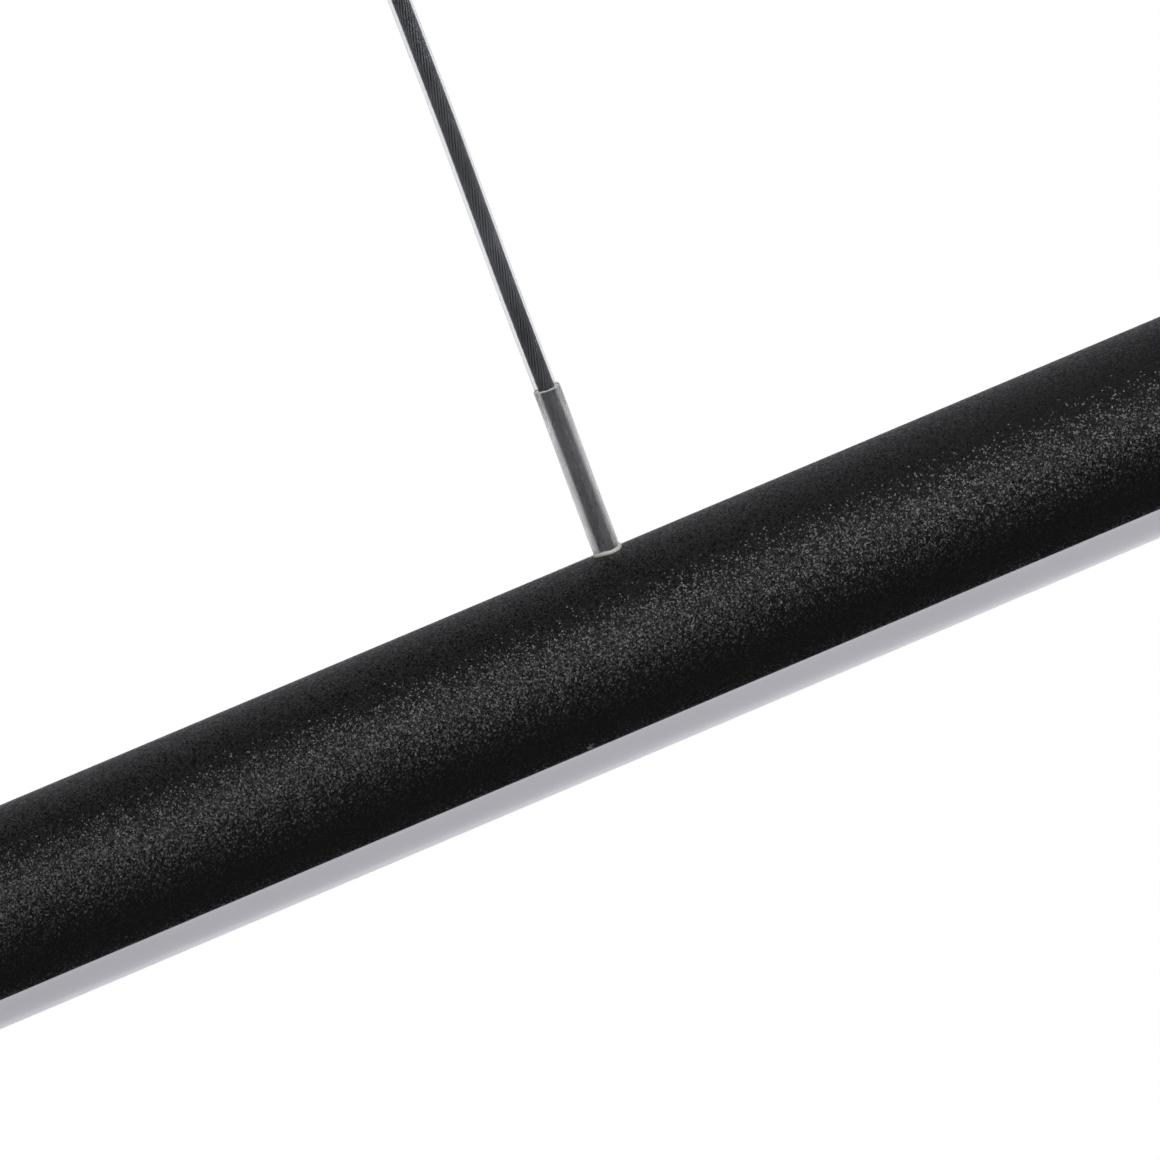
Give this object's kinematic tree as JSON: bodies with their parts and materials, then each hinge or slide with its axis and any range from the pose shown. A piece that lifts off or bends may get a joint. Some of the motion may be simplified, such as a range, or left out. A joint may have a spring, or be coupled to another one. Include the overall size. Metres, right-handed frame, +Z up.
{
  "type": "linear pendant light",
  "caption": "Slim round black pendant light with an opal underside, hung level from a long ceiling canopy on clear-jacketed live cables through swivel grippers.",
  "frame": {"origin": "middle of the ceiling bracket's top face, on the ceiling plane", "axes": "+Z up into the ceiling, +X along the tube, +Y across it"},
  "size_m": [0.6, 0.044, 0.1705],
  "materials": {
    "black_aluminium": "fine sand-textured black powder coat",
    "black_powder_coat": "fine sand-textured black powder coat",
    "opal_plastic": "satin opal polycarbonate",
    "clear_plastic": "clear, glossy, flexible",
    "clear_sleeve": "clear, glossy",
    "stranded_wire": "tinned strands, dulled",
    "black_plastic": "moulded, fine grain",
    "black_metal": "satin black",
    "nickel": "satin nickel plate",
    "zinc_steel": "zinc plated",
    "screw_steel": "zinc plated",
    "black_screw": "black oxide",
    "spring_steel": "bright wire",
    "brass": "turned",
    "white_board": "white solder mask",
    "led_package": "white package with yellow phosphor",
    "solder": "bright solder",
    "white_plastic": "moulded",
    "driver_white": "moulded, fine grain",
    "green_board": "solder mask",
    "component_plastic": "moulded",
    "terminal_plastic": "translucent nylon",
    "grey_rubber": "matt",
    "white_wire": "silicone insulation",
    "red_wire": "silicone insulation",
    "blue_wire": "insulation"
  },
  "bodies": {
    "canopy": {"canopy_cover": "black_powder_coat", "canopy_screws": "black_screw", "ceiling_bracket": "zinc_steel", "cord_clamp": "white_plastic", "cord_clamp_screws": "screw_steel", "driver_case": "driver_white", "driver_circuit_board": "green_board", "driver_components": "component_plastic", "driver_input_leads": "blue_wire", "driver_lid": "driver_white", "driver_screws": "screw_steel", "earth_lug": "brass", "earth_screw": "screw_steel", "gripper_nut_left": "nickel", "gripper_nut_right": "nickel", "gripper_socket_left": "black_metal", "gripper_socket_right": "black_metal", "mains_bushing": "grey_rubber", "output_lead_left": "white_wire", "output_lead_right": "red_wire", "terminal_block": "terminal_plastic", "terminal_screws": "screw_steel"},
    "grippers": {"gripper_ball_left": "nickel", "gripper_barrel_left": "black_metal", "gripper_spring_left": "spring_steel", "gripper_ball_right": "nickel", "gripper_barrel_right": "black_metal", "gripper_spring_right": "spring_steel"},
    "lamp": {"tube_housing": "black_aluminium", "diffuser": "opal_plastic", "led_board": "white_board", "leds": "led_package", "led_board_screws": "screw_steel", "end_cap_left": "black_aluminium", "end_cap_screws_left": "black_screw", "cable_jacket_left": "clear_plastic", "cable_core_left": "stranded_wire", "cable_sleeve_left": "clear_sleeve", "cable_end_cap_left": "black_plastic", "cable_saddle_left": "white_plastic", "cable_ferrule_left": "brass", "solder_joint_left": "solder", "end_cap_right": "black_aluminium", "end_cap_screws_right": "black_screw", "cable_jacket_right": "clear_plastic", "cable_core_right": "stranded_wire", "cable_sleeve_right": "clear_sleeve", "cable_end_cap_right": "black_plastic", "cable_saddle_right": "white_plastic", "cable_ferrule_right": "brass", "solder_joint_right": "solder"},
    "nozzle_left": {"gripper_nozzle_left": "nickel", "gripper_jaws_left": "spring_steel"},
    "nozzle_right": {"gripper_nozzle_right": "nickel", "gripper_jaws_right": "spring_steel"}
  },
  "joints": [
    {"name": "side_swing", "type": "hinge", "parent": "canopy", "child": "grippers", "pos_m": [0, 0, -0.032], "axis": [1, 0, 0], "range_deg": [-15, 15], "deforming": ["output_lead_left", "output_lead_right"]},
    {"name": "height_slide", "type": "slide", "parent": "grippers", "child": "lamp", "axis": [0, 0, 1], "range_m": [-0.0015, 0.008], "deforming": ["output_lead_left", "output_lead_right"]},
    {"name": "release_nozzle_left", "type": "slide", "parent": "grippers", "child": "nozzle_left", "axis": [0, 0, 1], "range_m": [0, 0.002], "stiffness_N_per_m": 400, "springref_m": -0.003, "deforming": ["gripper_spring_left"]},
    {"name": "release_nozzle_right", "type": "slide", "parent": "grippers", "child": "nozzle_right", "axis": [0, 0, 1], "range_m": [0, 0.002], "stiffness_N_per_m": 400, "springref_m": -0.003, "deforming": ["gripper_spring_right"]}
  ]
}
